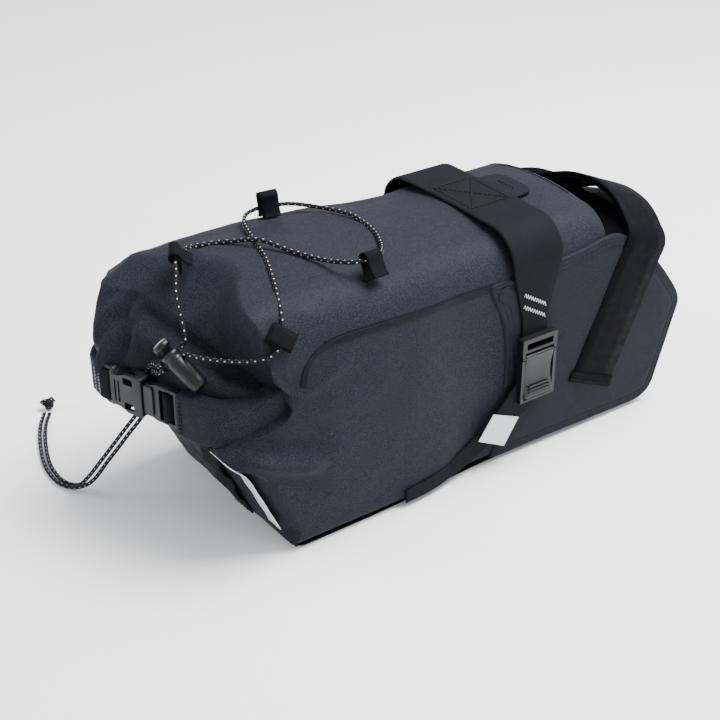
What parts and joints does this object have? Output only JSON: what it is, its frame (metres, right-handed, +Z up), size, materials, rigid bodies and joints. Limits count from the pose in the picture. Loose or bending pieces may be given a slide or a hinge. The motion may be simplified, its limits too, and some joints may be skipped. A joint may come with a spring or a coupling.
{
  "type": "saddle bag",
  "caption": "Roll-top saddle bag with stiff side wings for the seat post, a rail strap, a cam-buckle compression strap and a laced elastic cord.",
  "frame": {"origin": "middle of the bag's bounding box, at the height of its flat base, without the free cord tails", "axes": "+X forward to the seat-post wings, +Y to the bag's left side, +Z up"},
  "size_m": [0.3981, 0.2396, 0.1734],
  "materials": {
    "body_fabric": "coated ripstop-backed fabric, fine pebbled grain, low sheen",
    "dark_fabric": "stiff laminated fabric, smooth matte",
    "webbing": "woven nylon webbing, matte",
    "plastic": "moulded acetal, fine matte texture",
    "board": "polyethylene sheet, matte",
    "foam": "closed-cell grip pad, matte",
    "reflective": "light grey retroreflective tape, satin",
    "cord": "braided elastic cord with white tracer, matte",
    "steel": "bright steel, satin"
  },
  "bodies": {
    "bag": {"bag_shell": "body_fabric", "base_panel": "dark_fabric", "base_stiffener": "board", "bungee_cord": "cord", "cam_buckle_frame_left": "plastic", "cam_buckle_frame_right": "plastic", "cam_pin_left": "steel", "cam_pin_right": "steel", "closure_buckle_female": "plastic", "closure_web_female": "webbing", "compression_strap": "webbing", "cord_knot": "cord", "cord_lock_body": "plastic", "cord_lock_spring": "steel", "cord_loop_front_left": "webbing", "cord_loop_front_right": "webbing", "cord_loop_rear_left": "webbing", "cord_loop_rear_right": "webbing", "cord_tail_1": "cord", "cord_tail_2": "cord", "light_loop_strip": "webbing", "lower_strap_left": "webbing", "lower_strap_right": "webbing", "mouth_stiffener": "board", "mouth_throat": "body_fabric", "rail_strap": "webbing", "rail_strap_lining": "dark_fabric", "rear_panel": "body_fabric", "rear_reflector": "reflective", "rolled_mouth": "body_fabric", "seatpost_pad": "foam", "seatpost_strap": "webbing", "strap_anchor_patch": "webbing", "strap_reflector_left": "reflective", "strap_reflector_right": "reflective", "strap_tail_left": "webbing", "strap_tail_right": "webbing", "wing_inner_left": "dark_fabric", "wing_inner_right": "dark_fabric", "wing_outer_left": "dark_fabric", "wing_outer_right": "dark_fabric", "wing_stiffener_left": "board", "wing_stiffener_right": "board"},
    "closure_male": {"closure_buckle_male": "plastic", "closure_web_male": "webbing"},
    "lever_left": {"cam_lever_left": "plastic"},
    "lever_right": {"cam_lever_right": "plastic"},
    "lock_plunger": {"cord_lock_plunger": "plastic"}
  },
  "joints": [
    {"name": "closure_buckle_release", "type": "slide", "parent": "bag", "child": "closure_male", "axis": [0.326, -0.9454, 0], "range_m": [0, 0.014]},
    {"name": "cam_lever_left_open", "type": "hinge", "parent": "bag", "child": "lever_left", "pos_m": [0.0601, 0.0712, 0.075], "axis": [1, 0, 0], "range_deg": [0, 75]},
    {"name": "cam_lever_right_open", "type": "hinge", "parent": "bag", "child": "lever_right", "pos_m": [0.0601, -0.0712, 0.075], "axis": [-1, 0, 0], "range_deg": [0, 75]},
    {"name": "cord_lock_press", "type": "slide", "parent": "bag", "child": "lock_plunger", "axis": [0.3593, -0.6986, -0.6188], "range_m": [0, 0.003], "stiffness_N_per_m": 300}
  ]
}
